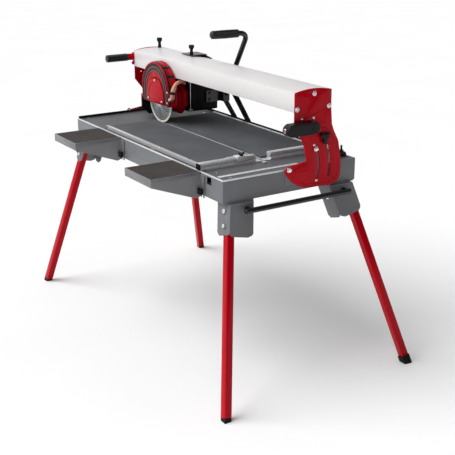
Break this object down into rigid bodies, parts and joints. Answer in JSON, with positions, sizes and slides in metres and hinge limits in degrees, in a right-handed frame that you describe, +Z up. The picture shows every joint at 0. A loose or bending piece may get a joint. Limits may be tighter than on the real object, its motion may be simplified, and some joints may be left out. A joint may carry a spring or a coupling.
{
  "type": "wet tile saw",
  "caption": "Bridge tile saw: a tilting guide rail carries a sliding water-cooled blade head over a water tub with rubber-topped table, side tables and folding legs.",
  "frame": {"origin": "centre of the footprint at floor level, under the middle of the whole machine", "axes": "+X along the cut towards the laser end, +Y across the table towards the motor, +Z up"},
  "size_m": [1.62, 0.9548, 1.233],
  "materials": {
    "tub_paint": "grey powder coat, slightly textured",
    "tray_plastic": "moulded black plastic",
    "black_rubber": "matt black rubber",
    "table_metal": "satin aluminium sheet",
    "table_rubber": "granular dark grey rubber",
    "deck_metal": "grey powder coat",
    "bar_aluminium": "extruded and anodised",
    "black_plastic": "moulded black plastic",
    "fastener_steel": "zinc plated",
    "black_paint": "black powder coat",
    "red_paint": "gloss red powder coat",
    "rail_aluminium": "pale anodised extrusion",
    "motor_plastic": "fine grained black casing",
    "core_steel": "laminated and turned steel",
    "bearing_steel": "ground steel",
    "hose_rubber": "tan hose",
    "grip_rubber": "fluted black grip",
    "red_plastic": "gloss red rocker",
    "blade_steel": "ground steel with a pale segmented rim",
    "ribbed_rubber": "ribbed brown-black rubber"
  },
  "bodies": {
    "base": {"tub_frame": "tub_paint", "water_tray": "tray_plastic", "drain_plug": "black_rubber", "table_plate": "table_metal", "table_mats": "table_rubber", "decks": "deck_metal", "splash_lip": "black_rubber", "stop_rail": "bar_aluminium", "stop_rail_clamps": "black_plastic", "tilt_bolts": "fastener_steel", "leg_brackets": "tub_paint", "frame_bolts": "fastener_steel", "carry_bar": "black_paint", "hose_stand": "black_paint", "cooling_pump": "black_plastic", "side_table_clamps": "black_plastic"},
    "leg_near_left": {"leg_near_left": "red_paint", "foot_near_left": "black_rubber"},
    "leg_near_right": {"leg_near_right": "red_paint", "foot_near_right": "black_rubber"},
    "leg_far_left": {"leg_far_left": "red_paint", "foot_far_left": "black_rubber"},
    "leg_far_right": {"leg_far_right": "red_paint", "foot_far_right": "black_rubber"},
    "wheel_left": {"wheel_left": "black_rubber"},
    "wheel_right": {"wheel_right": "black_rubber"},
    "bridge": {"guide_rail": "rail_aluminium", "end_plate_near": "red_paint", "end_plate_far": "red_paint", "end_plate_bolts": "fastener_steel", "laser_housing": "black_plastic", "rear_grip": "black_plastic"},
    "tilt_knob_near": {"tilt_knob_near": "black_plastic"},
    "tilt_knob_far": {"tilt_knob_far": "black_plastic"},
    "rail_knob": {"rail_knob": "black_plastic"},
    "head": {"carriage": "black_paint", "carriage_shoes": "black_plastic", "motor_flange": "red_paint", "motor_housing": "motor_plastic", "stator": "core_steel", "motor_bearings": "bearing_steel", "motor_end_cap": "motor_plastic", "blade_guard": "red_paint", "guard_cover": "red_paint", "splash_flap": "black_rubber", "water_hose": "hose_rubber", "handle_tube": "black_paint", "handle_grip": "grip_rubber", "head_screws": "fastener_steel"},
    "carriage_knob": {"carriage_knob": "black_plastic"},
    "switch_rocker": {"switch_rocker": "red_plastic"},
    "blade": {"saw_blade": "blade_steel", "blade_clamp": "fastener_steel", "rotor_shaft": "core_steel"},
    "side_table_far": {"side_table_far": "table_metal", "side_table_far_mat": "ribbed_rubber"},
    "side_table_near": {"side_table_near": "table_metal", "side_table_near_mat": "ribbed_rubber"},
    "angle_stop": {"angle_stop": "bar_aluminium"},
    "angle_stop_knob": {"angle_stop_knob": "black_plastic"}
  },
  "joints": [
    {"name": "leg_near_left_fold", "type": "hinge", "parent": "base", "child": "leg_near_left", "pos_m": [0.5651, -0.2374, 0.688], "axis": [0, 0.9746, -0.2238], "range_deg": [0, 107.7]},
    {"name": "leg_near_right_fold", "type": "hinge", "parent": "base", "child": "leg_near_right", "pos_m": [0.5651, 0.2966, 0.688], "axis": [0, 0.9746, 0.2238], "range_deg": [0, 107.7]},
    {"name": "leg_far_left_fold", "type": "hinge", "parent": "base", "child": "leg_far_left", "pos_m": [-0.6349, -0.2374, 0.688], "axis": [0.1022, -0.9725, 0.2095], "range_deg": [0, 104.1]},
    {"name": "leg_far_right_fold", "type": "hinge", "parent": "base", "child": "leg_far_right", "pos_m": [-0.6349, 0.2966, 0.688], "axis": [-0.1022, -0.9725, -0.2095], "range_deg": [0, 104.1]},
    {"name": "wheel_left_spin", "type": "hinge", "parent": "base", "child": "wheel_left", "pos_m": [-0.7319, -0.2154, 0.666], "axis": [0, 1, 0], "continuous": true},
    {"name": "wheel_right_spin", "type": "hinge", "parent": "base", "child": "wheel_right", "pos_m": [-0.7319, 0.2746, 0.666], "axis": [0, 1, 0], "continuous": true},
    {"name": "bridge_tilt", "type": "hinge", "parent": "base", "child": "bridge", "pos_m": [-0.0349, 0.0096, 0.808], "axis": [1, 0, 0], "range_deg": [0, 45]},
    {"name": "tilt_knob_near_turn", "type": "hinge", "parent": "base", "child": "tilt_knob_near", "pos_m": [0.5891, 0.16546, 0.91313], "axis": [1, 0, 0], "range_deg": [0, 180]},
    {"name": "tilt_knob_far_turn", "type": "hinge", "parent": "base", "child": "tilt_knob_far", "pos_m": [-0.6589, 0.16546, 0.91313], "axis": [-1, 0, 0], "range_deg": [0, 180]},
    {"name": "rail_knob_turn", "type": "hinge", "parent": "bridge", "child": "rail_knob", "pos_m": [-0.6269, 0.1496, 1.108], "axis": [0, 0, 1], "range_deg": [0, 360]},
    {"name": "head_travel", "type": "slide", "parent": "bridge", "child": "head", "axis": [1, 0, 0], "range_m": [-0.145, 0.764]},
    {"name": "carriage_knob_turn", "type": "hinge", "parent": "head", "child": "carriage_knob", "pos_m": [-0.3329, 0.1466, 1.108], "axis": [0, 0, 1], "range_deg": [0, 360]},
    {"name": "switch_rock", "type": "hinge", "parent": "head", "child": "switch_rocker", "pos_m": [-0.4449, 0.2396, 0.972], "axis": [1, 0, 0], "range_deg": [-8, 8]},
    {"name": "blade_spin", "type": "hinge", "parent": "head", "child": "blade", "pos_m": [-0.3729, 0.0096, 0.908], "axis": [0, 1, 0], "continuous": true},
    {"name": "side_table_far_lift", "type": "slide", "parent": "base", "child": "side_table_far", "axis": [0, 0, 1], "range_m": [0, 0.05]},
    {"name": "side_table_near_lift", "type": "slide", "parent": "base", "child": "side_table_near", "axis": [0, 0, 1], "range_m": [0, 0.05]},
    {"name": "angle_stop_travel", "type": "slide", "parent": "base", "child": "angle_stop", "axis": [0, 1, 0], "range_m": [-0.108, 0]},
    {"name": "angle_stop_knob_turn", "type": "hinge", "parent": "angle_stop", "child": "angle_stop_knob", "pos_m": [0.4111, -0.0844, 0.84], "axis": [0, 0, 1], "range_deg": [0, 360]}
  ]
}
